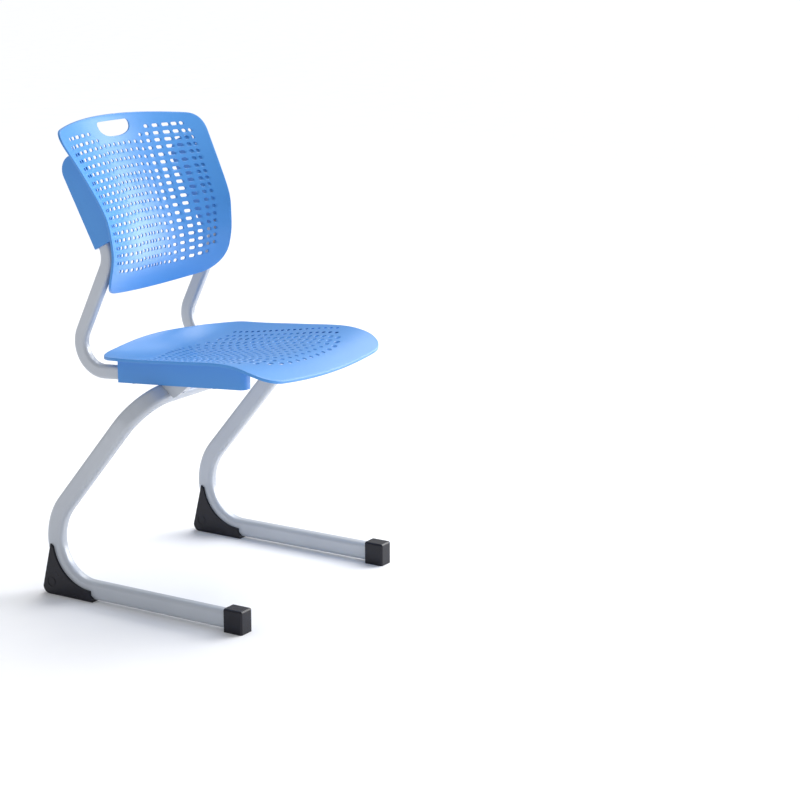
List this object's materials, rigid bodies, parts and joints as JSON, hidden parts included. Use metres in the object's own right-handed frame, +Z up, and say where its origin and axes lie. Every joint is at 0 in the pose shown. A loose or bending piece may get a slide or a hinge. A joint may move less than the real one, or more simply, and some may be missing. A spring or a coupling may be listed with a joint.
{
  "type": "student desk chair",
  "caption": "Student chair with a cantilever frame of bent grey tube, a perforated blue plastic seat and backrest, and black floor caps.",
  "frame": {"origin": "on the floor, under the middle of the chair's bounding box", "axes": "+Z up, -Y towards the front of the seat, +X to the right seen from the front; the chair is the same on both sides of X = 0"},
  "size_m": [0.455, 0.4634, 0.7966],
  "materials": {
    "steel_paint": "satin",
    "blue_plastic": "satin",
    "black_plastic": "semi-gloss",
    "screw_steel": "zinc plated"
  },
  "bodies": {
    "root": {"backrest_screws": "screw_steel", "backrest_shell": "blue_plastic", "backrest_sleeve_left": "blue_plastic", "backrest_sleeve_right": "blue_plastic", "foot_screws": "screw_steel", "front_cap_left": "black_plastic", "front_cap_right": "black_plastic", "leg_joint_sleeve": "screw_steel", "leg_tube_left": "steel_paint", "leg_tube_right": "steel_paint", "rail_bracket_left": "steel_paint", "rail_bracket_right": "steel_paint", "rear_foot_left": "black_plastic", "rear_foot_right": "black_plastic", "seat_channel_left": "blue_plastic", "seat_channel_right": "blue_plastic", "seat_rail_left": "steel_paint", "seat_rail_right": "steel_paint", "seat_screws": "screw_steel", "seat_shell": "blue_plastic"}
  },
  "joints": []
}
